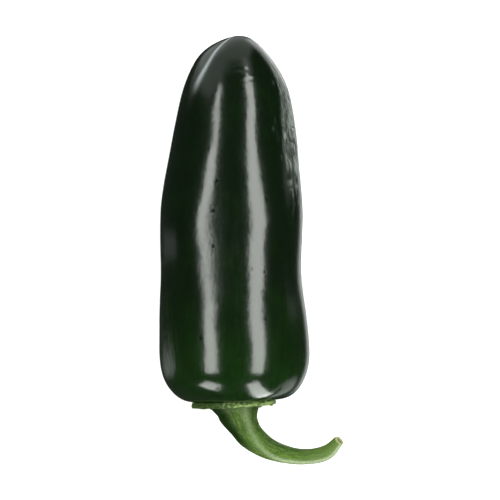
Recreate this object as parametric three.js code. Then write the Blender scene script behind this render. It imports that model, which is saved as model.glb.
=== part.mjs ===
import * as THREE from 'three';

// A broad, blunt chilli pepper of the jalapeno kind, lying on its side. Millimetres.
// +Y runs along the pod to its tip, +Z is up, and the origin is the middle of the flat
// spot that the pod rests on. Angles round the pod start at +X and turn towards +Z.

// Driving dimensions
const POD_LENGTH = 78.3;
const POD_WIDTH = 32.4;
const POD_HEIGHT = 31.4;
const POD_BASE_Y = -33.1;
const CALYX_REACH = 8.4;
const GAP = 0.3; // between the pod and the calyx that sits on it

// Mesh fineness
const POD_ROWS = 60;
const POD_COLUMNS = 52;
const STALK_COLUMNS = 50;
const STEM_ROWS = 34;

// The pod's outline from the middle of its base to its tip. Each row: how far along the
// pod's length, half width and half height as shares of the greatest, and the middle in
// X and Z. The belly dips a little below Z = 0, and is pressed flat there.
const POD_OUTLINE = [
  [0.0, 0.0, 0.0, 0.3, 15.3],
  [-0.001, 0.37, 0.37, 0.3, 15.4],
  [0.006, 0.685, 0.67, 0.45, 15.5],
  [0.047, 0.895, 0.895, 0.25, 15.6],
  [0.12, 0.985, 0.984, 0.3, 15.95],
  [0.235, 0.97, 0.997, -0.1, 15.6],
  [0.369, 0.93, 0.949, -0.5, 14.5],
  [0.497, 0.94, 0.948, -0.4, 14.43],
  [0.625, 0.885, 0.903, -0.1, 14.1],
  [0.739, 0.81, 0.818, 0.3, 13.35],
  [0.839, 0.715, 0.71, 0.5, 12.75],
  [0.913, 0.565, 0.551, 0.3, 12.25],
  [0.968, 0.355, 0.347, 0.4, 11.95],
  [1.0, 0.0, 0.0, 1.3, 11.8],
];

// Three seed chambers show as lobes, deepest at the shoulders and at the tip.
const LOBE_COUNT = 3;
const LOBE_RIDGE_ANGLE = radians(75);
const LOBE_DEPTH = { middle: 0.006, shoulder: 0.008, tip: 0.04, spread: 0.13 };
const SHOULDER_HUMP = { height: 0.25, along: 0.17, spread: 0.06 };
const TIP_CREASE = { angle: radians(137), width: 0.17, depth: 0.035, from: 0.8, to: 0.93 };
const BASE_LEAN = { slope: 0.06, until: 0.22 };

// Shallow waves of the skin: height, wavelength along the pod, turns round it, phase.
const SKIN_WAVES = [
  [0.05, 33, 2, 6.14],
  [0.03, 19, -3, 2.46],
  [0.025, 12, 4, 3.53],
];

// Hollows (positive) and swellings (negative): depth, distance from the base, angle, and
// reach along the pod and round it.
const DENTS = [
  [-0.75, 36, radians(130), 12, 6],
  [-0.6, 33, radians(50), 12, 6],
  [-0.25, 34, radians(90), 8, 6],
  [0.6, 63, radians(52), 8, 5],
  [0.45, 67, radians(90), 9, 5],
  [-0.3, 6, radians(128), 5, 6],
];

// Calyx: a thin saucer over the pod's base with a lip and blunt, uneven teeth. Its outer
// face rises to the stem: each pair is a radius and the height there above the underside.
const CALYX_LIP = { height: 0.85, width: 0.9, curl: 0.1, lift: 0.6 };
const CALYX_SLOPE = [
  [7.3, 0.75],
  [6.3, 0.95],
  [5.3, 1.4],
];
const CALYX_TEETH = [
  { angle: radians(44), length: 2.3 },
  { angle: radians(104), length: 0.7 },
  { angle: radians(172), length: 0.7 },
  { angle: radians(229), length: 1.1 },
  { angle: radians(284), length: 0.7 },
  { angle: radians(338), length: 0.5 },
];
const TOOTH_WIDTH = 0.16;

// Stem: the path of its middle from the calyx to the cut end, as X, distance past the
// pod's base and Z, and its radii at even steps along the path.
const STEM_PATH = [
  [0.8, 2.1, 15.4],
  [1.0, 2.8, 15.4],
  [1.4, 3.9, 15.45],
  [2.2, 5.5, 15.6],
  [3.5, 7.4, 15.8],
  [7.6, 10.3, 16.1],
  [14.5, 11.9, 16.7],
  [19.7, 11.0, 18.2],
  [22.5, 8.3, 20.1],
];
const STEM_RADII = [4.4, 3.4, 2.85, 2.45, 2.1, 1.83, 1.68, 1.65, 1.52, 1.15];
const RIB_COUNT = 5;
const RIB_ANGLE = radians(80);
const RIB_HEIGHT = { base: 0.07, end: 0.035 };
const PITH = { share: 0.6, hollow: 0.25 };

function radians(degrees) {
  return (degrees * Math.PI) / 180;
}

function bell(distance, width) {
  return Math.exp(-((distance / width) ** 2));
}

function smoothstep(from, to, value) {
  const share = THREE.MathUtils.clamp((value - from) / (to - from), 0, 1);
  return share * share * (3 - 2 * share);
}

function angleBetween(a, b) {
  return Math.atan2(Math.sin(a - b), Math.cos(a - b));
}

// A smooth curve through evenly counted values, for a place from 0 to 1. It is a cubic
// B-spline whose control values are nudged until it meets each value. Past both ends the
// values are mirrored with the given sign: -1 makes a radius close squarely on the axis.
function smoothThrough(values, mirrorSign) {
  const last = values.length - 1;
  const read = (list, i) => {
    if (i < 0) return mirrorSign * list[-i];
    return i > last ? mirrorSign * list[2 * last - i] : list[i];
  };
  let control = [...values];
  for (let round = 0; round < 30; round++) {
    const met = control.map((c, i) => (read(control, i - 1) + 4 * c + read(control, i + 1)) / 6);
    control = control.map((c, i) => c + values[i] - met[i]);
  }
  return (place) => {
    const i = Math.min(Math.floor(place * last), last - 1);
    const f = place * last - i;
    const rising = 1 + 3 * f + 3 * f ** 2 - 3 * f ** 3;
    const weights = [(1 - f) ** 3, 3 * f ** 3 - 6 * f ** 2 + 4, rising, f ** 3];
    return weights.reduce((sum, weight, k) => sum + (weight * read(control, i - 1 + k)) / 6, 0);
  };
}

const column = (k) => POD_OUTLINE.map((row) => row[k]);
const pod = {
  along: smoothThrough(column(0), 1),
  wide: smoothThrough(column(1), -1),
  tall: smoothThrough(column(2), -1),
  middleX: smoothThrough(column(3), 1),
  middleZ: smoothThrough(column(4), 1),
};

// How far lobes and the crease swell or draw in the pod's radius, as a share of it.
function lobeShare(place, angle) {
  const depth =
    LOBE_DEPTH.middle +
    LOBE_DEPTH.shoulder * bell(place - 0.15, LOBE_DEPTH.spread) +
    LOBE_DEPTH.tip * bell(1 - place, LOBE_DEPTH.spread);
  const crease =
    TIP_CREASE.depth *
    bell(angleBetween(angle, TIP_CREASE.angle), TIP_CREASE.width) *
    smoothstep(TIP_CREASE.from, TIP_CREASE.to, place);
  return depth * Math.cos(LOBE_COUNT * (angle - LOBE_RIDGE_ANGLE)) - crease;
}

// Waves and dents of the skin, outwards, at a distance from the base.
function skinRelief(distance, angle, radius) {
  let height = 0;
  for (const [size, length, turns, phase] of SKIN_WAVES) {
    height += size * Math.sin((2 * Math.PI * distance) / length + turns * angle + phase);
  }
  for (const [depth, dentDistance, dentAngle, reachAlong, reachRound] of DENTS) {
    const roundWay = angleBetween(angle, dentAngle) * radius;
    height -= depth * bell(distance - dentDistance, reachAlong) * bell(roundWay, reachRound);
  }
  return height;
}

// A point of the pod's skin. place runs from 0 at the base to 1 at the tip.
function podPoint(place, angle) {
  const wide = (pod.wide(place) * POD_WIDTH) / 2;
  const tall = (pod.tall(place) * POD_HEIGHT) / 2;
  const swell = 1 + lobeShare(place, angle);
  const distance = pod.along(place) * POD_LENGTH;
  const relief = skinRelief(distance, angle, wide) * smoothstep(0.1, 0.6, pod.wide(place));
  const outX = (wide * swell + relief) * Math.cos(angle);
  const outZ = (tall * swell + relief) * Math.sin(angle);
  const hump =
    SHOULDER_HUMP.height *
    Math.cos(LOBE_COUNT * (angle - LOBE_RIDGE_ANGLE)) *
    bell(place - SHOULDER_HUMP.along, SHOULDER_HUMP.spread);
  const lean = BASE_LEAN.slope * outX * (1 - smoothstep(0, BASE_LEAN.until, place));
  const y = POD_BASE_Y + distance + lean - hump;
  return new THREE.Vector3(pod.middleX(place) + outX, y, Math.max(pod.middleZ(place) + outZ, 0));
}

// The place along the pod, near its base, where it is this far from its axis.
function placeAtRadius(radius) {
  let low = 0;
  let high = 0.3;
  for (let step = 0; step < 24; step++) {
    const middle = (low + high) / 2;
    if ((pod.wide(middle) * POD_WIDTH) / 2 < radius) low = middle;
    else high = middle;
  }
  return (low + high) / 2;
}

// A closed surface from rings of points that follow one another towards -Y: each ring is
// joined to the next, and the first and the last ring to a point of its own.
function closedSurface(startPoint, rings, endPoint) {
  const count = rings[0].length;
  const points = [startPoint, ...rings.flat(), endPoint];
  const indices = [];
  const vertex = (ring, i) => 1 + ring * count + (i % count);
  for (let i = 0; i < count; i++) {
    indices.push(0, vertex(0, i + 1), vertex(0, i));
    indices.push(points.length - 1, vertex(rings.length - 1, i), vertex(rings.length - 1, i + 1));
    for (let ring = 0; ring < rings.length - 1; ring++) {
      indices.push(vertex(ring, i), vertex(ring, i + 1), vertex(ring + 1, i));
      indices.push(vertex(ring, i + 1), vertex(ring + 1, i + 1), vertex(ring + 1, i));
    }
  }
  const geometry = new THREE.BufferGeometry().setFromPoints(points);
  geometry.setIndex(indices);
  geometry.computeVertexNormals();
  return geometry;
}

function ring(columns, pointAt) {
  return Array.from({ length: columns }, (_, i) => pointAt((2 * Math.PI * i) / columns));
}

// The pod: one solid, with its rings counted from the tip to the base.
function podGeometry() {
  const rings = [];
  for (let row = 1; row < POD_ROWS; row++) {
    rings.push(ring(POD_COLUMNS, (angle) => podPoint(1 - row / POD_ROWS, angle)));
  }
  return closedSurface(podPoint(1, 0), rings, podPoint(0, 0));
}

// How far the calyx's teeth stand out at this angle.
function toothReach(angle) {
  const reaches = CALYX_TEETH.map(
    (tooth) => tooth.length * bell(angleBetween(angle, tooth.angle), TOOTH_WIDTH),
  );
  return Math.max(...reaches);
}

// Lengthwise ribs of the stem, which run out over the calyx: a wave with narrow crests.
function ribShare(angle) {
  const turn = RIB_COUNT * (angle - RIB_ANGLE);
  return 0.8 * Math.cos(turn) + 0.2 * Math.cos(2 * turn);
}

// The calyx's rings: out along the pod's base, round the lip, and back to the stem.
function calyxRings() {
  const outward = new THREE.Vector3(BASE_LEAN.slope, -1, 0).normalize();
  const reach = (angle) => CALYX_REACH + toothReach(angle);
  const at = (angle, radius, height) =>
    podPoint(placeAtRadius(radius), angle).addScaledVector(outward, GAP + height);
  const curl = (angle) =>
    CALYX_LIP.curl * toothReach(angle) + (CALYX_LIP.lift * (1 - Math.cos(angle))) / 2;
  const rings = [0.3, 0.6, 0.85].map((share) =>
    ring(STALK_COLUMNS, (angle) => at(angle, share * reach(angle), 0)),
  );
  const lip = [
    [0, 0, 0.2],
    [0.2, 0.3, 0.6],
    [0.2, 0.75, 1],
    [-0.15, 1, 1],
    [-0.6, 0.9, 0.6],
  ];
  for (const [outwards, heightShare, curlShare] of lip) {
    rings.push(
      ring(STALK_COLUMNS, (angle) =>
        at(
          angle,
          reach(angle) + outwards * CALYX_LIP.width,
          heightShare * CALYX_LIP.height + curlShare * curl(angle),
        ),
      ),
    );
  }
  CALYX_SLOPE.forEach(([radius, height], i) => {
    const vein = 0.07 * (i + 1);
    const curlShare = 0.4 - 0.15 * i;
    rings.push(
      ring(STALK_COLUMNS, (angle) =>
        at(angle, radius, height + vein * ribShare(angle) + curlShare * curl(angle)),
      ),
    );
  });
  return rings;
}

// The stem's rings: swept along its path, level side to side, with the ribs fading out.
function stemRings(path, radiusAt) {
  const rings = [];
  for (let row = 0; row <= STEM_ROWS; row++) {
    const share = row / STEM_ROWS;
    const centre = path.getPointAt(share);
    const side = new THREE.Vector3(0, 0, 1).cross(path.getTangentAt(share)).normalize();
    const up = path.getTangentAt(share).cross(side);
    const rib = THREE.MathUtils.lerp(RIB_HEIGHT.base, RIB_HEIGHT.end, Math.sqrt(share));
    rings.push(
      ring(STALK_COLUMNS, (angle) => {
        const radius = radiusAt(share) * (1 + rib * ribShare(angle));
        return centre
          .clone()
          .addScaledVector(side, radius * Math.cos(angle))
          .addScaledVector(up, radius * Math.sin(angle));
      }),
    );
  }
  return rings;
}

// Calyx and stem: one piece, as it grew, with the stem's cut end hollowed at the pith.
function stalkGeometry() {
  const path = new THREE.CatmullRomCurve3(
    STEM_PATH.map(([x, past, z]) => new THREE.Vector3(x, POD_BASE_Y - past, z)),
  );
  const radiusAt = smoothThrough(STEM_RADII, 1);
  const end = path.getPointAt(1);
  const endWay = path.getTangentAt(1);
  const stem = stemRings(path, radiusAt);
  const rim = stem[stem.length - 1];
  const cutRing = (share, height) =>
    rim.map((point) => end.clone().lerp(point, share).addScaledVector(endWay, height));
  const rings = [...calyxRings(), ...stem, cutRing(0.88, 0.15), cutRing(PITH.share, 0.1)];
  rings.push(cutRing(PITH.share * 0.8, -PITH.hollow));
  const underside = podPoint(0, 0).add(new THREE.Vector3(0, -GAP, 0));
  return closedSurface(underside, rings, end.clone().addScaledVector(endWay, -PITH.hollow));
}

function namedMesh(name, geometry, colour, roughness) {
  const material = new THREE.MeshStandardMaterial({ color: colour, roughness, metalness: 0 });
  const mesh = new THREE.Mesh(geometry, material);
  mesh.name = name;
  return mesh;
}

const chilliPepper = new THREE.Group();
chilliPepper.add(namedMesh('pod', podGeometry(), 0x18300f, 0.2));
chilliPepper.add(namedMesh('stem_with_calyx', stalkGeometry(), 0x55803a, 0.5));

export default chilliPepper;
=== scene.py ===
import math

import bpy
import numpy as np
from mathutils import Matrix


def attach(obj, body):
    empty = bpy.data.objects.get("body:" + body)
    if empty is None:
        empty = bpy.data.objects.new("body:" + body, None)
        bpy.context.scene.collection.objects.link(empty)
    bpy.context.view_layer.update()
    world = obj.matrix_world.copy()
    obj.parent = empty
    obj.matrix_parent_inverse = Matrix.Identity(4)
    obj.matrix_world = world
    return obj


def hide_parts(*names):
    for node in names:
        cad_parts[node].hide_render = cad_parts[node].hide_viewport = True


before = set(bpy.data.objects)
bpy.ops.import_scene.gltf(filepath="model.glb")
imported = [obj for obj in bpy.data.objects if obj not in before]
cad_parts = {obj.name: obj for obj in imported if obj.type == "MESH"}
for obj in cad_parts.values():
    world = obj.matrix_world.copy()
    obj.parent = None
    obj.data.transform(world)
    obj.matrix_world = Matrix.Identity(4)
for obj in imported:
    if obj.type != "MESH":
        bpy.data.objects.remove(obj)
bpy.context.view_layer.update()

# A glossy, blunt chilli pepper lying on its side, seen from straight above.
# The shapes are worked out in millimetres, in the frame's axes: +Y along the pod to its
# tip, +Z up. Angles round the pod start at +X and turn towards +Z.
MM = 0.001

# The solids' own driving dimensions
POD_LENGTH = 78.3
POD_WIDTH = 32.4
POD_HEIGHT = 31.4
POD_BASE_Y = -33.1
CALYX_REACH = 8.4

# Mesh fineness. The pod's columns stand closer together on its upper side.
POD_ROWS = 330
POD_COLUMNS = 290
COLUMN_CROWDING = 0.3
STALK_COLUMNS = 220
STEM_ROWS = 180
UNDERSIDE_RINGS = 10
LIP_RINGS = 14
SLOPE_RINGS = 16
CURVE_STEPS = 60

# The pod's outline from the middle of its base to its tip: how far along its length, half
# width and half height as shares of the greatest, and the middle in X and Z.
POD_OUTLINE = np.array([
    (0.0, 0.0, 0.0, 0.3, 15.3),
    (-0.001, 0.37, 0.37, 0.3, 15.4),
    (0.006, 0.685, 0.67, 0.45, 15.5),
    (0.047, 0.895, 0.895, 0.25, 15.6),
    (0.12, 0.985, 0.984, 0.3, 15.95),
    (0.235, 0.97, 0.997, -0.1, 15.6),
    (0.369, 0.93, 0.949, -0.5, 14.5),
    (0.497, 0.94, 0.948, -0.4, 14.43),
    (0.625, 0.885, 0.903, -0.1, 14.1),
    (0.739, 0.81, 0.818, 0.3, 13.35),
    (0.839, 0.715, 0.71, 0.5, 12.75),
    (0.913, 0.565, 0.551, 0.3, 12.25),
    (0.968, 0.355, 0.347, 0.4, 11.95),
    (1.0, 0.0, 0.0, 1.3, 11.8),
])

LOBE_COUNT = 3
LOBE_RIDGE_ANGLE = math.radians(75)
LOBE_DEPTH = {"middle": 0.006, "shoulder": 0.008, "tip": 0.04, "spread": 0.13}
SHOULDER_HUMP = {"height": 0.25, "along": 0.17, "spread": 0.06}
TIP_CREASE = {"angle": math.radians(137), "width": 0.17, "depth": 0.035, "from": 0.8, "to": 0.93}
BASE_LEAN = {"slope": 0.06, "until": 0.22}

# Shallow waves of the skin: height, wavelength along the pod, turns round it, phase.
SKIN_WAVES = [
    (0.05, 33, 2, 6.14),
    (0.03, 19, -3, 2.46),
    (0.025, 12, 4, 3.53),
]

# Hollows (positive) and swellings (negative): depth, distance from the base, angle in
# degrees, and reach along the pod and round it.
DENTS = [
    (-0.75, 36, 130, 12, 6),
    (-0.6, 33, 50, 12, 6),
    (-0.25, 34, 90, 8, 6),
    (0.6, 63, 52, 8, 5),
    (0.45, 67, 90, 9, 5),
    (-0.3, 6, 128, 5, 6),
]

# Calyx lip, the slope of its outer face (radius, height), its teeth (angle in degrees,
# length), and how uneven its edge, its lip and its veined face are
CALYX_LIP = {"height": 0.85, "width": 0.9, "curl": 0.1, "lift": 0.6}
CALYX_SLOPE = [(7.3, 0.75), (6.3, 0.95), (5.3, 1.4)]
CALYX_TEETH = [(44, 2.3), (104, 0.7), (172, 0.7), (229, 1.1), (284, 0.7), (338, 0.5)]
TOOTH_WIDTH = 0.16
RAGGED_EDGE = {"broad": 0.3, "fine": 0.15}
LIP_BUMPS = 0.3
VEINS = {"ribs": 0.21, "bumps": 0.1}

# The lip from the pod outwards and back: steps out in lip widths, share of its height, and
# share of its curl. Then the share of the curl down the slope.
LIP_PROFILE = [(0, 0, 0.2), (0.2, 0.3, 0.6), (0.2, 0.75, 1), (-0.15, 1, 1), (-0.6, 0.9, 0.6)]
SLOPE_CURL = (0.6, 0.4, 0.25, 0.1)

# Stem path as X, distance past the pod's base and Z, and its radii at even steps along it
STEM_PATH = [
    (0.8, 2.1, 15.4),
    (1.0, 2.8, 15.4),
    (1.4, 3.9, 15.45),
    (2.2, 5.5, 15.6),
    (3.5, 7.4, 15.8),
    (7.6, 10.3, 16.1),
    (14.5, 11.9, 16.7),
    (19.7, 11.0, 18.2),
    (22.5, 8.3, 20.1),
]
STEM_RADII = [4.4, 3.4, 2.85, 2.45, 2.1, 1.83, 1.68, 1.65, 1.52, 1.15]
RIB_COUNT = 5
RIB_ANGLE = math.radians(80)
RIB_HEIGHT = {"base": 0.07, "end": 0.035}
FIBRES = {"coarse": 0.02, "fine": 0.012}

# The stem's upper ridge, painted pale as a highlight by the stem's material: its angles in degrees
# at both ends, where along the stem it winds over, and its width and height
RIDGE = {"start": 66, "end": 134, "from": 0.12, "to": 0.55, "width": 0.27, "height": 0.035}

# The stem's cut end from its rim inwards: share of the radius and height
CUT_PROFILE = [(0.97, 0.08), (0.9, 0.14), (0.78, 0.12), (0.6, 0.06), (0.48, -0.25), (0.2, -0.25)]

# Fine relief of the skin. Pores and specks: distance from the base, angle in degrees,
# radius and depth. A negative depth is a speck that stands up.
PORES = [
    (46.9, 103, 0.36, 0.01),
    (40.6, 105, 0.4, 0.012),
    (33.1, 104, 0.42, 0.012),
    (43.0, 61, 0.32, 0.01),
    (27.7, 63, 0.3, 0.01),
    (17.7, 64, 0.3, 0.01),
    (30.7, 112, 0.3, -0.03),
    (26.7, 109, 0.3, -0.03),
    (28.4, 72, 0.3, -0.03),
    (23.3, 68, 0.3, -0.03),
    (13.7, 117, 0.3, 0.04),
    (5.9, 89, 0.3, -0.03),
]

# Patches and lines of the skin: distance from the base, angle in degrees, reach along the
# pod, spread round it in degrees, and height
CREASE_LINE = {
    "angle": 140, "turn": 14, "from": 65.5, "to": 69.5,
    "depth": 0.05, "width": 0.3, "lip": 0.12, "lip_aside": 0.6, "lip_width": 0.45,
}
# The pale line beside the crease is painted as the highlight along the crease's lip
PALE_LINE_HIGHLIGHT = {"from": 65, "to": 69.5, "aside": 0.3, "wide": 0.85, "narrowing": 0.45}
RIPPLE = {"middle": 69.8, "reach": 2.4, "angle": 71, "spread": 13, "height": 0.07}
DIMPLED = {"middle": 31, "reach": 14, "angle": 101, "spread": 15}
CORK = {"middle": 58, "reach": 13, "angle": 22, "spread": 19, "height": 0.16}
FLANK = {"middle": 9, "reach": 9, "angle": 153, "spread": 13, "height": 0.05}
UNEVEN = {"broad": 0.016, "fine": 0.0025}

# Studio lights, in metres. Strips along the pod: angle from vertical in degrees, width,
# and where they start and end along Y. Boxes before its base: turn from -Y towards +X and
# rise in degrees, width, height and radiance.
STRIP_DISTANCE = 1.2
STRIP_RADIANCE = 10.2
STRIPS = [
    ("strip_left", -37, 0.34, -0.76, 0.77),
    ("strip_left_far", -36.5, 0.25, 0.79, 1.4),
    ("strip_right", 36, 0.44, -0.8, 1.55),
    ("strip_right_far", 36, 0.22, 1.57, 2.1),
]
FRONT_DISTANCE = 1.3
FRONT_BOXES = [
    ("front_left", -27, 10, 0.36, 0.56, 9),
    ("front_right", 23, 2, 0.4, 1.4, 10.5),
]
LAMP_COLOUR = (0.965, 1.0, 0.955)
AMBIENT = 0.04
BACKDROP = 0.9

# The camera looks straight down on a square of this height round a middle point.
VIEW_MIDDLE = (3.5, -0.8, 15)
VIEW_HEIGHT = 107
LENS = 400
SENSOR = 36

# Colours, as linear red, green, blue and opacity
SKIN_TIP = (0.0013, 0.005, 0.0011, 1)
SKIN_BASE = (0.0032, 0.0145, 0.0014, 1)
SKIN_STREAK = (0.001, 0.0032, 0.001, 1)
SKIN_FLECK = (0.05, 0.09, 0.04, 1)
# Pale grey of the corky patch: part its own scar colour, part painted reflection
SKIN_CORK_AND_SHEEN = (0.17, 0.19, 0.175, 1)
# Painted highlight of the pale line beside the tip's crease
SKIN_LINE_HIGHLIGHT = (0.26, 0.29, 0.3, 1)
# Painted shade inside the pores
SKIN_PORE_SHADE = (0.0004, 0.001, 0.0004, 1)
WHITE = (1, 1, 1, 1)
STEM_GREEN = (0.045, 0.094, 0.004, 1)
STEM_DARK = (0.012, 0.034, 0.002, 1)
# Painted shade: near-black green for the -X side of the stem near the calyx
STEM_PAINTED_SHADE = (0.003, 0.011, 0.001, 1)
# Painted highlight along the stem's upper ridge, near the calyx and towards the cut
RIDGE_HIGHLIGHT_NEAR = (0.13, 0.18, 0.075, 1)
RIDGE_HIGHLIGHT_FAR = (0.28, 0.33, 0.2, 1)
STEM_PALE = (0.1, 0.16, 0.035, 1)
# Painted light and shade of the calyx lip: its lit colour and its shaded colour
LIP_LIT_GREEN = (0.16, 0.23, 0.07, 1)
LIP_SHADED_DARK = (0.015, 0.035, 0.006, 1)
NECK_GREY = (0.04, 0.062, 0.022, 1)
CUT_PALE = (0.22, 0.24, 0.11, 1)
PITH_DARK = (0.12, 0.12, 0.05, 1)


def bell(distance, width):
    return np.exp(-((distance / width) ** 2))


def smoothstep(low, high, value):
    share = np.clip((value - low) / (high - low), 0, 1)
    return share * share * (3 - 2 * share)


def angle_between(a, b):
    return np.arctan2(np.sin(a - b), np.cos(a - b))


def smooth_through(values, mirror_sign):
    """A cubic B-spline that meets evenly counted values, as a function of a place from 0
    to 1. Past both ends the values are mirrored with the given sign."""
    values = np.asarray(values, float)
    last = len(values) - 1

    def padded(control):
        return np.concatenate([[mirror_sign * control[1]], control, [mirror_sign * control[-2]]])

    control = values.copy()
    for _ in range(30):
        row = padded(control)
        control = control + values - (row[:-2] + 4 * row[1:-1] + row[2:]) / 6
    row = padded(control)

    def at(place):
        i = np.clip(np.floor(place * last), 0, last - 1).astype(int)
        f = place * last - i
        weights = ((1 - f) ** 3, 3 * f**3 - 6 * f**2 + 4, 1 + 3 * f + 3 * f**2 - 3 * f**3, f**3)
        return sum(weight * row[i + k] for k, weight in enumerate(weights)) / 6

    return at


def lattice_noise(along, turn, cells_round, seed):
    """Smooth noise from -1 to 1. One cell is 1 long in along, and cells_round of them go
    once round, with turn in radians."""
    cells_along = 200
    grid = np.random.default_rng(seed).uniform(-1, 1, (cells_along, cells_round))
    u = np.asarray(along, float) + 0 * turn
    v = np.mod(turn / (2 * np.pi), 1) * cells_round + 0 * u
    i = np.floor(u).astype(int)
    j = np.floor(v).astype(int)
    f = u - i
    g = v - j
    f = f * f * (3 - 2 * f)
    g = g * g * (3 - 2 * g)

    def cell(di, dj):
        return grid[(i + di) % cells_along, (j + dj) % cells_round]

    near = cell(0, 0) * (1 - g) + cell(0, 1) * g
    far = cell(1, 0) * (1 - g) + cell(1, 1) * g
    return near * (1 - f) + far * f


pod_along = smooth_through(POD_OUTLINE[:, 0], 1)
pod_wide = smooth_through(POD_OUTLINE[:, 1], -1)
pod_tall = smooth_through(POD_OUTLINE[:, 2], -1)
pod_middle_x = smooth_through(POD_OUTLINE[:, 3], 1)
pod_middle_z = smooth_through(POD_OUTLINE[:, 4], 1)


def lobe_share(place, angle):
    """How far lobes and the crease swell or draw in the pod's radius, as a share of it."""
    depth = (
        LOBE_DEPTH["middle"]
        + LOBE_DEPTH["shoulder"] * bell(place - 0.15, LOBE_DEPTH["spread"])
        + LOBE_DEPTH["tip"] * bell(1 - place, LOBE_DEPTH["spread"])
    )
    crease = (
        TIP_CREASE["depth"]
        * bell(angle_between(angle, TIP_CREASE["angle"]), TIP_CREASE["width"])
        * smoothstep(TIP_CREASE["from"], TIP_CREASE["to"], place)
    )
    return depth * np.cos(LOBE_COUNT * (angle - LOBE_RIDGE_ANGLE)) - crease


def skin_relief(distance, angle, radius):
    """Waves and dents of the skin, outwards, at a distance from the base."""
    height = 0
    for size, length, turns, phase in SKIN_WAVES:
        height = height + size * np.sin(2 * np.pi * distance / length + turns * angle + phase)
    for depth, dent_distance, dent_angle, reach_along, reach_round in DENTS:
        round_way = angle_between(angle, math.radians(dent_angle)) * radius
        along_way = distance - dent_distance
        height = height - depth * bell(along_way, reach_along) * bell(round_way, reach_round)
    return height


def pod_point(place, angle):
    """Points of the pod's skin. place runs from 0 at the base to 1 at the tip."""
    wide = pod_wide(place) * POD_WIDTH / 2
    tall = pod_tall(place) * POD_HEIGHT / 2
    swell = 1 + lobe_share(place, angle)
    distance = pod_along(place) * POD_LENGTH
    relief = skin_relief(distance, angle, wide) * smoothstep(0.1, 0.6, pod_wide(place))
    out_x = (wide * swell + relief) * np.cos(angle)
    out_z = (tall * swell + relief) * np.sin(angle)
    hump = (
        SHOULDER_HUMP["height"]
        * np.cos(LOBE_COUNT * (angle - LOBE_RIDGE_ANGLE))
        * bell(place - SHOULDER_HUMP["along"], SHOULDER_HUMP["spread"])
    )
    lean = BASE_LEAN["slope"] * out_x * (1 - smoothstep(0, BASE_LEAN["until"], place))
    x = pod_middle_x(place) + out_x
    y = POD_BASE_Y + distance + lean - hump
    z = np.maximum(pod_middle_z(place) + out_z, 0)
    return np.stack(np.broadcast_arrays(x, y, z), axis=-1)


def patch_share(patch, distance, angle):
    """How strongly a patch of the skin shows at a point, from 0 to 1."""
    turned = np.degrees(angle_between(angle, math.radians(patch["angle"])))
    ragged = lattice_noise(distance / 7, angle, 70, 11) + lattice_noise(distance / 2, angle, 100, 12)
    way = np.hypot((distance - patch["middle"]) / patch["reach"], turned / patch["spread"])
    return 1 - smoothstep(0.4, 1.3, way + 0.3 * ragged)


def cork_wrinkle(distance, angle):
    """Narrow lengthwise wrinkles and pits of the corky skin, from 0 to 1."""
    drift = lattice_noise(distance / 2.5, angle, 30, 21)
    wrinkle = lattice_noise(distance / 4.5, angle - distance / 60 + 0.05 * drift, 60, 22)
    pit = lattice_noise(distance / 1.3, angle + 0.05 * drift, 60, 23)
    return np.maximum(bell(wrinkle, 0.2), smoothstep(0.5, 0.85, pit))


def pore_share(distance, angle, radius):
    """The pores that go down, as a share of their depth."""
    share = 0 * distance * angle
    for pore_distance, pore_angle, size, depth in PORES:
        round_way = angle_between(angle, math.radians(pore_angle)) * radius
        hole = bell(np.hypot(distance - pore_distance, round_way), size)
        share = np.maximum(share, hole if depth > 0 else 0)
    return share


def crease_aside(distance, angle, radius):
    """How far a point is from the crease line, round the pod."""
    crease_angle = CREASE_LINE["angle"] - CREASE_LINE["turn"] * smoothstep(66, 76, distance)
    return angle_between(angle, np.radians(crease_angle)) * radius


def fine_relief(distance, angle, radius):
    """Relief too fine for the solid: pores, wrinkles, the crease line and faint unevenness."""
    height = 0 * distance * angle
    for pore_distance, pore_angle, size, depth in PORES:
        round_way = angle_between(angle, math.radians(pore_angle)) * radius
        height = height - depth * bell(np.hypot(distance - pore_distance, round_way), size)
    cork = patch_share(CORK, distance, angle)
    height = height - CORK["height"] * cork * cork_wrinkle(distance, angle)
    flank = patch_share(FLANK, distance, angle)
    furrow = lattice_noise(distance / 7, angle, 104, 24)
    height = height + FLANK["height"] * flank * furrow
    aside = crease_aside(distance, angle, radius)
    groove = CREASE_LINE["depth"] * bell(aside, CREASE_LINE["width"])
    lip = CREASE_LINE["lip"] * bell(aside - CREASE_LINE["lip_aside"], CREASE_LINE["lip_width"])
    line = smoothstep(CREASE_LINE["from"], CREASE_LINE["to"], distance) * (lip - groove)
    uneven = (
        UNEVEN["broad"] * lattice_noise(distance / 4.5, angle, 26, 25)
        + UNEVEN["fine"] * lattice_noise(distance / 1.3, angle, 70, 26)
    )
    rippled = bell(distance - RIPPLE["middle"], RIPPLE["reach"]) * bell(
        angle_between(angle, math.radians(RIPPLE["angle"])), math.radians(RIPPLE["spread"])
    )
    ripple = RIPPLE["height"] * rippled * lattice_noise(distance / 0.7, angle, 12, 27)
    return height + line + uneven + ripple


def skin_point(place, angle):
    """Points of the finished skin: the pod's shape with its fine relief."""
    radius = pod_wide(place) * POD_WIDTH / 2
    distance = pod_along(place) * POD_LENGTH + 0 * angle
    fade = smoothstep(0.45, 0.8, pod_wide(place)) + smoothstep(0.5, 0.9, place)
    relief = fine_relief(distance, angle, radius) * np.minimum(fade, 1)
    relief = relief * smoothstep(0, 3, radius)
    point = pod_point(place, angle)
    raised = point + relief[..., None] * np.stack(
        [np.cos(angle) + 0 * place, 0 * place * angle, np.sin(angle) + 0 * place], axis=-1
    )
    raised[..., 2] = np.where(point[..., 2] > 0, np.maximum(raised[..., 2], 0), 0)
    return raised


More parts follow.
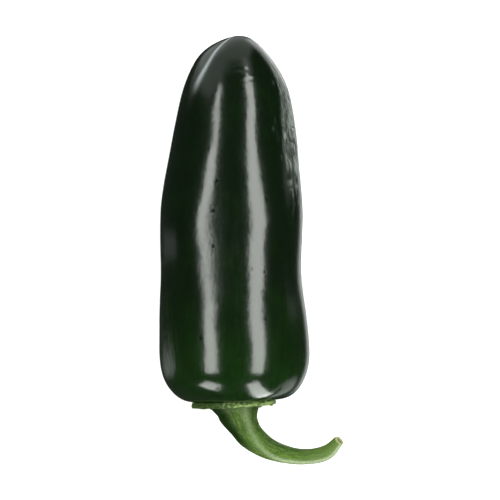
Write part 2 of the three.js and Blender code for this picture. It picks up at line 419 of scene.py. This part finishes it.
def even_places(rows):
    """Places from base to tip that lie evenly along the pod's outline."""
    fine = np.linspace(0, 1, 2000)
    steps = np.hypot(np.diff(pod_along(fine) * POD_LENGTH), np.diff(pod_wide(fine) * POD_WIDTH / 2))
    way = np.concatenate([[0], np.cumsum(steps)])
    return np.interp(np.linspace(0, way[-1], rows + 1), way, fine)


def closed_surface(name, start_point, rings, end_point):
    """A mesh from rings of points that follow one another towards -Y, with the first and
    the last ring closed to a point of its own."""
    ring_count, count = rings.shape[:2]
    points = np.concatenate([[start_point], rings.reshape(-1, 3), [end_point]]) * MM
    here = np.arange(count)
    following = (here + 1) % count
    faces = [(0, 1 + b, 1 + a) for a, b in zip(here, following)]
    for ring in range(ring_count - 1):
        near = 1 + ring * count
        far = near + count
        faces += zip(near + here, near + following, far + following, far + here)
    last = 1 + (ring_count - 1) * count
    end = len(points) - 1
    faces += [(end, last + a, last + b) for a, b in zip(here, following)]
    mesh = bpy.data.meshes.new(name)
    mesh.from_pydata(points.tolist(), [], [tuple(int(v) for v in face) for face in faces])
    mesh.shade_smooth()
    obj = bpy.data.objects.new(name, mesh)
    bpy.context.scene.collection.objects.link(obj)
    return obj


def add_values(obj, name, values):
    """Store one number for each point of a mesh, for its material to read."""
    attribute = obj.data.attributes.new(name, "FLOAT", "POINT")
    attribute.data.foreach_set("value", np.asarray(values, np.float32).ravel())


def with_ends(rings, start=0.0, end=0.0):
    return np.concatenate([[start], np.ravel(rings), [end]])


def make_pod():
    """The pod's skin, finer than the solid that it replaces."""
    places = even_places(POD_ROWS)[1:-1][::-1][:, None]
    angles = np.linspace(0, 2 * np.pi, POD_COLUMNS, endpoint=False)
    angles = (angles + COLUMN_CROWDING * np.cos(angles))[None, :]
    rings = skin_point(places, angles)
    tip = pod_point(np.array(1.0), 0.0)
    base = pod_point(np.array(0.0), 0.0)
    pod = closed_surface("pod_skin", tip, rings, base)
    distance = pod_along(places) * POD_LENGTH + 0 * angles
    radius = pod_wide(places) * POD_WIDTH / 2
    # Where the corky patch is painted pale grey between its wrinkles: part scar, part painted reflection
    cork = patch_share(CORK, distance, angles) * (1 - 0.7 * cork_wrinkle(distance, angles))
    add_values(pod, "cork", with_ends(cork))
    add_values(pod, "flank", with_ends(patch_share(FLANK, distance, angles)))
    add_values(pod, "dimpled", with_ends(patch_share(DIMPLED, distance, angles)))
    # Where the pale line beside the crease is painted as a highlight
    line_width = PALE_LINE_HIGHLIGHT["wide"] - PALE_LINE_HIGHLIGHT["narrowing"] * smoothstep(66, 74, distance)
    line = bell(crease_aside(distance, angles, radius) - PALE_LINE_HIGHLIGHT["aside"], line_width)
    line = line * smoothstep(PALE_LINE_HIGHLIGHT["from"], PALE_LINE_HIGHLIGHT["to"], distance)
    add_values(pod, "line", with_ends(line))
    add_values(pod, "pore", with_ends(pore_share(distance, angles, radius)))
    return pod


def place_at_radius(radius):
    """The place along the pod, near its base, where it is this far from its axis."""
    fine = np.linspace(0, 0.3, 3000)
    return np.interp(radius, pod_wide(fine) * POD_WIDTH / 2, fine)


def tooth_reach(angle):
    """How far the calyx's teeth stand out at this angle."""
    reaches = [
        length * bell(angle_between(angle, math.radians(tooth)), TOOTH_WIDTH)
        for tooth, length in CALYX_TEETH
    ]
    return np.max(reaches, axis=0)


def rib_share(angle):
    """Lengthwise ribs of the stem: a wave with narrow crests."""
    turn = RIB_COUNT * (angle - RIB_ANGLE)
    return 0.8 * np.cos(turn) + 0.2 * np.cos(2 * turn)


def ridge_share(share, angle):
    """The stem's upper ridge, painted pale as a highlight, which winds from its inner to its outer side.
    """
    turned = smoothstep(RIDGE["from"], RIDGE["to"], share)
    ridge_angle = RIDGE["start"] + (RIDGE["end"] - RIDGE["start"]) * turned
    return bell(angle_between(angle, np.radians(ridge_angle)), RIDGE["width"])


def calyx_rings(angles):
    """Rings out along the pod's base, round the lip, and back to the stem."""
    outward = np.array([BASE_LEAN["slope"], -1, 0])
    outward = outward / np.linalg.norm(outward)
    ragged = (
        RAGGED_EDGE["broad"] * lattice_noise(0.5, angles, 24, 31)
        + RAGGED_EDGE["fine"] * lattice_noise(0.5, angles, 64, 32)
    )
    reach = CALYX_REACH + tooth_reach(angles) + ragged
    curl = CALYX_LIP["curl"] * tooth_reach(angles) + CALYX_LIP["lift"] * (1 - np.cos(angles)) / 2

    def at(radius, height):
        return pod_point(place_at_radius(radius), angles) + height[:, None] * outward

    rings = [at(share * reach, 0 * reach) for share in np.linspace(0.05, 0.95, UNDERSIDE_RINGS)]
    lip_place = np.linspace(0, 1, LIP_RINGS)
    for outwards, height_share, curl_share in smooth_rows(LIP_PROFILE, lip_place):
        rings.append(at(
            reach + outwards * CALYX_LIP["width"],
            height_share * (CALYX_LIP["height"] + LIP_BUMPS * lattice_noise(0.5, angles, 22, 33))
            + curl_share * curl,
        ))
    lip_radius = CALYX_REACH + LIP_PROFILE[-1][0] * CALYX_LIP["width"]
    lip_height = LIP_PROFILE[-1][1] * CALYX_LIP["height"]
    slope_rows = [(lip_radius, lip_height), *CALYX_SLOPE]
    slope = [(*row, curl_share) for row, curl_share in zip(slope_rows, SLOPE_CURL)]
    for step in np.linspace(0, 1, SLOPE_RINGS + 1)[1:]:
        radius, height, curl_share = smooth_rows(slope, [step])[0]
        start = (1 - smoothstep(0, 0.5, step)) * (reach - CALYX_REACH)
        vein = VEINS["ribs"] * step * rib_share(angles)
        vein = vein + VEINS["bumps"] * lattice_noise(3 * step, angles, 44, 34)
        rings.append(at(radius + start, height + vein + curl_share * curl))
    return rings


def smooth_rows(rows, places):
    """Rows read at places from 0 to 1, each column along a smooth curve."""
    columns = np.asarray(rows, float).T
    return np.stack([smooth_through(column, 1)(np.asarray(places)) for column in columns], axis=1)


def catmull_rom(points, steps):
    """Evenly spaced points and tangents along a smooth curve through the given points."""
    points = np.asarray(points, float)
    padded = np.concatenate([[2 * points[0] - points[1]], points, [2 * points[-1] - points[-2]]])
    knots = np.concatenate([[0], np.cumsum(np.sqrt(np.linalg.norm(np.diff(padded, axis=0), axis=1)))])
    curve = []
    for i in range(1, len(padded) - 2):
        t0, t1, t2, t3 = knots[i - 1 : i + 3]
        p0, p1, p2, p3 = padded[i - 1 : i + 3]
        for t in np.linspace(t1, t2, CURVE_STEPS, endpoint=False):
            a1 = (t1 - t) / (t1 - t0) * p0 + (t - t0) / (t1 - t0) * p1
            a2 = (t2 - t) / (t2 - t1) * p1 + (t - t1) / (t2 - t1) * p2
            a3 = (t3 - t) / (t3 - t2) * p2 + (t - t2) / (t3 - t2) * p3
            b1 = (t2 - t) / (t2 - t0) * a1 + (t - t0) / (t2 - t0) * a2
            b2 = (t3 - t) / (t3 - t1) * a2 + (t - t1) / (t3 - t1) * a3
            curve.append((t2 - t) / (t2 - t1) * b1 + (t - t1) / (t2 - t1) * b2)
    curve = np.array(curve + [points[-1]])
    way = np.concatenate([[0], np.cumsum(np.linalg.norm(np.diff(curve, axis=0), axis=1))])
    at = np.linspace(0, way[-1], steps)
    path = np.stack([np.interp(at, way, curve[:, k]) for k in range(3)], axis=1)
    tangents = np.gradient(path, axis=0)
    return path, tangents / np.linalg.norm(tangents, axis=1)[:, None]


def make_stalk():
    """Calyx and stem in one piece, with the stem's cut end hollowed at the pith."""
    angles = np.linspace(0, 2 * np.pi, STALK_COLUMNS, endpoint=False)
    path, tangents = catmull_rom([(x, POD_BASE_Y - past, z) for x, past, z in STEM_PATH], STEM_ROWS)
    shares = np.linspace(0, 1, STEM_ROWS)
    radii = smooth_through(STEM_RADII, 1)(shares)
    side = np.cross([0, 0, 1], tangents)
    side = side / np.linalg.norm(side, axis=1)[:, None]
    up = np.cross(tangents, side)
    rib = RIB_HEIGHT["base"] + (RIB_HEIGHT["end"] - RIB_HEIGHT["base"]) * np.sqrt(shares)
    fibre = (
        FIBRES["coarse"] * lattice_noise(10 * shares[:, None], angles[None, :], 34, 41)
        + FIBRES["fine"] * lattice_noise(16 * shares[:, None], angles[None, :], 73, 42)
    )
    settle = smoothstep(0, 0.06, shares)[:, None]
    ridge = ridge_share(shares[:, None], angles[None, :])
    swell = rib[:, None] * rib_share(angles)[None, :] + settle * (fibre + RIDGE["height"] * ridge)
    radius = radii[:, None] * (1 + swell)
    turned = np.stack([np.cos(angles), np.sin(angles)])[:, None, :, None]
    across = radius[..., None] * (turned[0] * side[:, None, :] + turned[1] * up[:, None, :])
    stem = path[:, None, :] + across
    end = path[-1]
    end_way = tangents[-1]
    rim = stem[-1]
    cuts = [end + share * (rim - end) + height * end_way for share, height in CUT_PROFILE]
    calyx = calyx_rings(angles)
    rings = np.array([*calyx, *stem, *cuts])
    underside = pod_point(np.array(0.0), 0.0)
    stalk = closed_surface("stem_and_calyx", underside, rings, end + CUT_PROFILE[-1][1] * end_way)

    calyx_along = np.linspace(-8, 0, len(calyx))
    stem_along = np.cumsum(np.full(STEM_ROWS, np.linalg.norm(path[1] - path[0])))
    along = np.concatenate([calyx_along, stem_along, np.full(len(cuts), stem_along[-1])])
    every = np.ones((1, STALK_COLUMNS))
    lip = np.zeros(len(rings))
    lip[UNDERSIDE_RINGS + 1 : UNDERSIDE_RINGS + LIP_RINGS + 2] = 1
    neck = np.zeros(len(rings))
    neck[UNDERSIDE_RINGS + LIP_RINGS + 2 : len(calyx)] = 1
    cut = np.zeros(len(rings))
    cut[-len(cuts) - 1 :] = 1
    pith = np.zeros(len(rings))
    pith[-2:] = 1
    add_values(stalk, "along", with_ends(along[:, None] * every, along[0], along[-1]))
    add_values(stalk, "round_x", with_ends(np.cos(angles)[None, :] + 0 * along[:, None]))
    add_values(stalk, "round_z", with_ends(np.sin(angles)[None, :] + 0 * along[:, None]))
    stalk_shares = np.clip(along / stem_along[-1], 0, 1)[:, None]
    # Where the ridge's painted highlight lies
    add_values(stalk, "ridge", with_ends(ridge_share(stalk_shares, angles[None, :])))
    add_values(stalk, "lip", with_ends(lip[:, None] * every))
    add_values(stalk, "neck", with_ends(neck[:, None] * every))
    add_values(stalk, "cut", with_ends(cut[:, None] * every, 0, 1))
    add_values(stalk, "pith", with_ends(pith[:, None] * every, 0, 1))
    return stalk


class Shader:
    """Short calls for building one material's or world's node tree."""

    def __init__(self, tree):
        self.tree = tree
        tree.nodes.clear()

    def node(self, kind, inputs=None, **settings):
        made = self.tree.nodes.new(kind)
        for key, value in settings.items():
            setattr(made, key, value)
        for key, value in (inputs or {}).items():
            if isinstance(value, bpy.types.NodeSocket):
                self.tree.links.new(value, made.inputs[key])
            else:
                made.inputs[key].default_value = value
        return made

    def math(self, operation, a, b=0.0, clamp=False):
        return self.node("ShaderNodeMath", {0: a, 1: b}, operation=operation, use_clamp=clamp).outputs[0]

    def ramp(self, value, low, high, to_low=0.0, to_high=1.0):
        """value from low to high becomes to_low to to_high, smoothly."""
        return self.node(
            "ShaderNodeMapRange",
            {
                "Value": value, "From Min": low, "From Max": high,
                "To Min": to_low, "To Max": to_high,
            },
            interpolation_type="SMOOTHSTEP",
        ).outputs[0]

    def mix(self, share, a, b):
        return self.node(
            "ShaderNodeMix", {0: share, 6: a, 7: b}, data_type="RGBA", clamp_factor=True
        ).outputs[2]

    def noise(self, scale, detail=3.0, vector=None, roughness=0.5):
        inputs = {"Scale": scale, "Detail": detail, "Roughness": roughness}
        if vector is not None:
            inputs["Vector"] = vector
        return self.node("ShaderNodeTexNoise", inputs).outputs[0]


def new_material(name):
    material = bpy.data.materials.new(name)
    material.use_nodes = True
    return material, Shader(material.node_tree)


def stretched_place(shader, stretch):
    """Object coordinates in millimetres, with each axis multiplied."""
    place = shader.node("ShaderNodeTexCoord").outputs["Object"]
    return shader.node(
        "ShaderNodeMapping", {"Vector": place, "Scale": [s / MM for s in stretch]}
    ).outputs[0]


def attribute(shader, name):
    return shader.node("ShaderNodeAttribute", attribute_name=name).outputs["Fac"]


def skin_material():
    """Dark waxy skin, greener towards the base and painted lighter on top than on its sides, with pale
    flecks, corky scars partly painted as a pale reflection, a pale line painted as the crease's
    highlight, and pores painted dark as shade.
    """
    material, shader = new_material("pod_skin")
    place = stretched_place(shader, (1, 1, 1))
    lengthwise = stretched_place(shader, (1, 0.12, 1))
    parts = shader.node("ShaderNodeSeparateXYZ", {0: place})
    nearer_base = shader.ramp(parts.outputs["Y"], 2, -36)
    # Painted light and shade: the green fades from the top towards the sides, so the top reads lit and
    # the sides shaded
    painted_light_on_top = shader.ramp(parts.outputs["Z"], 12, 28, 0.35, 1)
    blotch = shader.noise(0.16, 4, place)
    streak = shader.noise(1.1, 3, lengthwise)
    greener = shader.math("MULTIPLY", nearer_base, painted_light_on_top)
    greener = shader.math("ADD", greener, shader.ramp(blotch, 0.3, 0.7, -0.18, 0.18))
    tint = shader.mix(greener, SKIN_TIP, SKIN_BASE)
    tint = shader.mix(shader.ramp(streak, 0.35, 0.75, 0, 0.45), tint, SKIN_STREAK)
    fleck = shader.node("ShaderNodeTexVoronoi", {"Vector": place, "Scale": 0.8, "Randomness": 1.0})
    fleck_share = shader.ramp(fleck.outputs["Distance"], 0.13, 0.05)
    tint = shader.mix(shader.math("MULTIPLY", fleck_share, 0.15), tint, SKIN_FLECK)
    cork = attribute(shader, "cork")
    grain = shader.noise(1.4, 4, stretched_place(shader, (1, 0.3, 1)), 0.65)
    # Corky scar painted pale grey, part its own colour and part painted reflection; it is also rougher
    scar_and_sheen = shader.math("MULTIPLY", cork, shader.ramp(grain, 0.34, 0.62, 0.15, 1))
    tint = shader.mix(shader.math("MULTIPLY", scar_and_sheen, 0.75), tint, SKIN_CORK_AND_SHEEN)
    # Painted highlight: the pale line along the crease's lip
    tint = shader.mix(shader.math("MULTIPLY", attribute(shader, "line"), 0.7), tint, SKIN_LINE_HIGHLIGHT)
    # Painted shade: the pores are coloured near black
    pore = shader.ramp(attribute(shader, "pore"), 0.15, 0.65)
    tint = shader.mix(shader.math("MULTIPLY", pore, 0.8), tint, SKIN_PORE_SHADE)
    fine = shader.noise(1.8, 4, place, 0.6)
    ripple = shader.noise(0.45, 2, place)
    dimpled = attribute(shader, "dimpled")
    dimples = shader.math("MULTIPLY", fine, shader.ramp(dimpled, 0, 1, 0.007, 0.022))
    height = shader.math("ADD", dimples, shader.math("MULTIPLY", ripple, 0.03))
    furrows = shader.noise(1.6, 3, stretched_place(shader, (1, 0.14, 1)), 0.6)
    furrowed = shader.math(
        "ADD",
        shader.math("MULTIPLY", cork, 0.1),
        shader.math("MULTIPLY", attribute(shader, "flank"), 0.14),
    )
    height = shader.math("ADD", height, shader.math("MULTIPLY", furrows, furrowed))
    bump = shader.node("ShaderNodeBump", {"Height": height, "Distance": MM, "Strength": 1.0})
    rough = shader.ramp(fine, 0.3, 0.7, 0.14, 0.19)
    rough = shader.math("ADD", rough, shader.math("MULTIPLY", scar_and_sheen, 0.2))
    rough = shader.math("ADD", rough, shader.math("MULTIPLY", dimpled, 0.07))
    surface = shader.node("ShaderNodeBsdfPrincipled", {
        "Base Color": tint,
        "Roughness": rough,
        "IOR": 1.47,
        # The pores' painted shade also tints away their reflection
        "Specular Tint": shader.mix(shader.math("MULTIPLY", pore, 0.85), WHITE, SKIN_PORE_SHADE),
        "Normal": bump.outputs[0],
    })
    shader.node("ShaderNodeOutputMaterial", {"Surface": surface.outputs[0]})
    return material


def stem_material():
    """Fibrous green stem: lengthwise streaks, a ridge painted pale as a highlight, a yellower lip
    painted lighter on its +X side, a greyer neck, painted shade on its -X side near the calyx, and a
    pale cut."""
    material, shader = new_material("stem_green")

    def fibres(round_scale, along_scale, detail):
        place = shader.node("ShaderNodeCombineXYZ", {
            "X": shader.math("MULTIPLY", attribute(shader, "round_x"), round_scale),
            "Y": shader.math("MULTIPLY", attribute(shader, "round_z"), round_scale),
            "Z": shader.math("MULTIPLY", attribute(shader, "along"), along_scale),
        })
        return shader.noise(1.0, detail, place.outputs[0], 0.6)

    place = stretched_place(shader, (1, 1, 1))
    broad = fibres(1.8, 0.07, 2)
    fine = fibres(8, 0.5, 4)
    mottle = shader.noise(0.9, 4, place)
    grain = shader.noise(2.8, 4, place, 0.65)
    tint = shader.mix(shader.ramp(broad, 0.38, 0.62), STEM_DARK, STEM_GREEN)
    tint = shader.mix(shader.ramp(fine, 0.45, 0.75, 0, 0.6), tint, STEM_PALE)
    tint = shader.mix(shader.ramp(fine, 0.52, 0.32, 0, 0.8), tint, STEM_DARK)
    tint = shader.mix(shader.ramp(grain, 0.48, 0.7, 0, 0.5), tint, STEM_PALE)
    tint = shader.mix(shader.ramp(grain, 0.52, 0.32, 0, 0.5), tint, STEM_DARK)
    # Painted highlight: a pale line along the stem's upper ridge, paler towards the cut
    ridge = shader.math("MULTIPLY", attribute(shader, "ridge"), shader.ramp(grain, 0.3, 0.6, 0.45, 0.9))
    along = attribute(shader, "along")
    tint = shader.mix(shader.ramp(along, 14, 26, 0, 0.5), tint, STEM_PALE)
    tint = shader.mix(ridge, tint, shader.mix(shader.ramp(along, 8, 18), RIDGE_HIGHLIGHT_NEAR, RIDGE_HIGHLIGHT_FAR))
    neck = shader.math("MULTIPLY", attribute(shader, "neck"), shader.ramp(mottle, 0.3, 0.6, 0.25, 0.85))
    tint = shader.mix(neck, tint, NECK_GREY)
    # Painted shade: the -X side of the neck and the first few millimetres of the stem is painted
    # near-black green
    painted_shade = shader.math(
        "MULTIPLY", shader.ramp(attribute(shader, "round_x"), -0.3, -0.75), shader.ramp(along, 10, 5)
    )
    tint = shader.mix(shader.math("MULTIPLY", painted_shade, 0.95), tint, STEM_PAINTED_SHADE)
    patchy = shader.noise(1.5, 2, place)
    # Painted light and shade: the lip is lighter on its +X side and darker on its -X side, broken by
    # random patches
    lip_light_and_patches = shader.ramp(shader.math("ADD", attribute(shader, "round_x"), patchy), 0.1, 0.6, 0.15, 1)
    lip_light_and_patches = shader.math("MULTIPLY", lip_light_and_patches, shader.ramp(patchy, 0.38, 0.56, 0.1, 1))
    tint = shader.mix(attribute(shader, "lip"), tint, shader.mix(lip_light_and_patches, LIP_SHADED_DARK, LIP_LIT_GREEN))
    tint = shader.mix(attribute(shader, "cut"), tint, CUT_PALE)
    tint = shader.mix(attribute(shader, "pith"), tint, PITH_DARK)
    height = shader.math("MULTIPLY", fine, 0.06)
    height = shader.math("ADD", height, shader.math("MULTIPLY", grain, 0.09))
    bump = shader.node("ShaderNodeBump", {"Height": height, "Distance": MM, "Strength": 0.8})
    surface = shader.node("ShaderNodeBsdfPrincipled", {
        "Base Color": tint,
        "Roughness": shader.ramp(mottle, 0.3, 0.7, 0.38, 0.5),
        "IOR": 1.33,
        "Specular IOR Level": 0.35,
        # The painted shade also tints away the reflection on that side
        "Specular Tint": shader.mix(painted_shade, WHITE, STEM_PAINTED_SHADE),
        "Normal": bump.outputs[0],
    })
    shader.node("ShaderNodeOutputMaterial", {"Surface": surface.outputs[0]})
    return material


def floor_material():
    material, shader = new_material("pale_floor")
    surface = shader.node("ShaderNodeBsdfPrincipled", {
        "Base Color": (0.96, 0.96, 0.96, 1),
        "Roughness": 1.0,
        "Specular IOR Level": 0.0,
        "Emission Color": WHITE,
        "Emission Strength": 0.12,
    })
    shader.node("ShaderNodeOutputMaterial", {"Surface": surface.outputs[0]})
    return material


def make_floor():
    half = 3.0
    mesh = bpy.data.meshes.new("floor")
    corners = [(-half, -half, 0), (half, -half, 0), (half, half, 0), (-half, half, 0)]
    mesh.from_pydata(corners, [], [(0, 1, 2, 3)])
    floor = bpy.data.objects.new("floor", mesh)
    floor.data.materials.append(floor_material())
    floor.visible_glossy = False
    bpy.context.scene.collection.objects.link(floor)


def add_softbox(name, direction, distance, width, length, radiance, shift=0.0):
    """A rectangular light that faces the origin from a direction, moved by shift along
    its length."""
    light = bpy.data.lights.new(name, "AREA")
    light.shape = "RECTANGLE"
    light.size = width
    light.size_y = length
    light.energy = radiance * math.pi * width * length
    light.color = LAMP_COLOUR
    lamp = bpy.data.objects.new(name, light)
    back = np.array(direction, float) / np.linalg.norm(direction)
    along = np.array([0.0, 1.0, 0.0]) - back[1] * back
    nearly_along_y = np.linalg.norm(along) < 0.5
    if nearly_along_y:
        along = np.array([0.0, 0.0, 1.0]) - back[2] * back
    along = along / np.linalg.norm(along)
    side = np.cross(along, back)
    turn = Matrix(np.stack([side, along, back], axis=1).tolist()).to_4x4()
    lamp.matrix_world = Matrix.Translation((back * distance + shift * along).tolist()) @ turn
    lamp.visible_camera = False
    bpy.context.scene.collection.objects.link(lamp)


def make_lights():
    """Two rows of long softboxes over the pod, and two boxes at the stem's end, of which the
    right one reaches below the table."""
    for name, angle, width, start, end in STRIPS:
        turned = math.radians(angle)
        add_softbox(
            name, (math.sin(turned), 0, math.cos(turned)), STRIP_DISTANCE, width, end - start,
            STRIP_RADIANCE, (start + end) / 2,
        )
    for name, turn, rise, width, height, radiance in FRONT_BOXES:
        turned = math.radians(turn)
        risen = math.radians(rise)
        ahead = math.cos(risen)
        direction = (math.sin(turned) * ahead, -math.cos(turned) * ahead, math.sin(risen))
        add_softbox(name, direction, FRONT_DISTANCE, width, height, radiance)


def make_world():
    """A dark studio with pale surroundings low down past the tip and the shoulders, which
    the glossy skin mirrors, and a pale backdrop behind the floor."""
    world = bpy.data.worlds.new("studio")
    world.use_nodes = True
    bpy.context.scene.world = world
    shader = Shader(world.node_tree)
    way = shader.node("ShaderNodeTexCoord").outputs["Generated"]
    parts = shader.node("ShaderNodeSeparateXYZ", {0: way})
    x, y, z = (parts.outputs[axis] for axis in "XYZ")

    def glow(level, *shares):
        for share in shares:
            level = shader.math("MULTIPLY", share, level)
        return level

    def patch(direction, outer, inner):
        """A soft round patch between two angles from a direction, in degrees."""
        length = math.hypot(*direction)
        unit = [part / length for part in direction]
        near = shader.node("ShaderNodeVectorMath", {0: way, 1: unit}, operation="DOT_PRODUCT")
        angles = (math.cos(math.radians(angle)) for angle in (outer, inner))
        return shader.ramp(near.outputs["Value"], *angles)

    left = shader.ramp(x, -0.45, -0.65)
    right = shader.ramp(x, 0.1, 0.35)
    past_tip = glow(
        0.8, shader.ramp(y, 0.5, 0.62), shader.ramp(z, 0.48, 0.36), shader.ramp(x, 0.56, 0.4)
    )
    left_of_tip = glow(0.7, patch((-0.6, 0.68, -0.4), 26, 12))
    right_side = glow(
        0.65, right, shader.ramp(y, 0.12, 0.22), shader.ramp(y, 0.42, 0.3), shader.ramp(z, -0.12, -0.32)
    )
    right_of_tip = glow(1.3, right, shader.ramp(y, 0.2, 0.35), shader.ramp(z, -0.45, -0.62))
    left_shoulder = glow(
        0.9, left, shader.ramp(y, 0.02, -0.18), shader.ramp(y, -0.32, -0.22), shader.ramp(z, -0.1, -0.4)
    )
    right_shoulder = glow(1.4, patch((0.56, -0.66, -0.5), 24, 12))
    right_rim = glow(1.1, right, shader.ramp(z, -0.76, -0.95), shader.ramp(y, -0.4, -0.2))
    total = AMBIENT
    for level in (
        past_tip, left_of_tip, right_side, right_of_tip, left_shoulder, right_shoulder, right_rim
    ):
        total = shader.math("ADD", level, total)
    seen = shader.node("ShaderNodeLightPath").outputs["Is Camera Ray"]
    level = shader.node("ShaderNodeMix", {0: seen, 2: total, 3: BACKDROP}).outputs[0]
    background = shader.node("ShaderNodeBackground", {"Color": (0.96, 1.0, 0.98, 1), "Strength": level})
    shader.node("ShaderNodeOutputWorld", {"Surface": background.outputs[0]})


def make_camera():
    camera = bpy.data.cameras.new("camera")
    camera.lens = LENS
    camera.sensor_width = SENSOR
    view = bpy.data.objects.new("camera", camera)
    x, y, z = VIEW_MIDDLE
    distance = VIEW_HEIGHT * LENS / SENSOR
    view.location = (x * MM, y * MM, (z + distance) * MM)
    bpy.context.scene.collection.objects.link(view)
    bpy.context.scene.camera = view


def dress(obj, material, node):
    obj.data.materials.append(material)
    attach(obj, "root")
    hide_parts(node)


make_camera()
dress(make_pod(), skin_material(), "pod")
dress(make_stalk(), stem_material(), "stem_with_calyx")
make_floor()
make_lights()
make_world()
bpy.context.scene.view_settings.view_transform = "Standard"
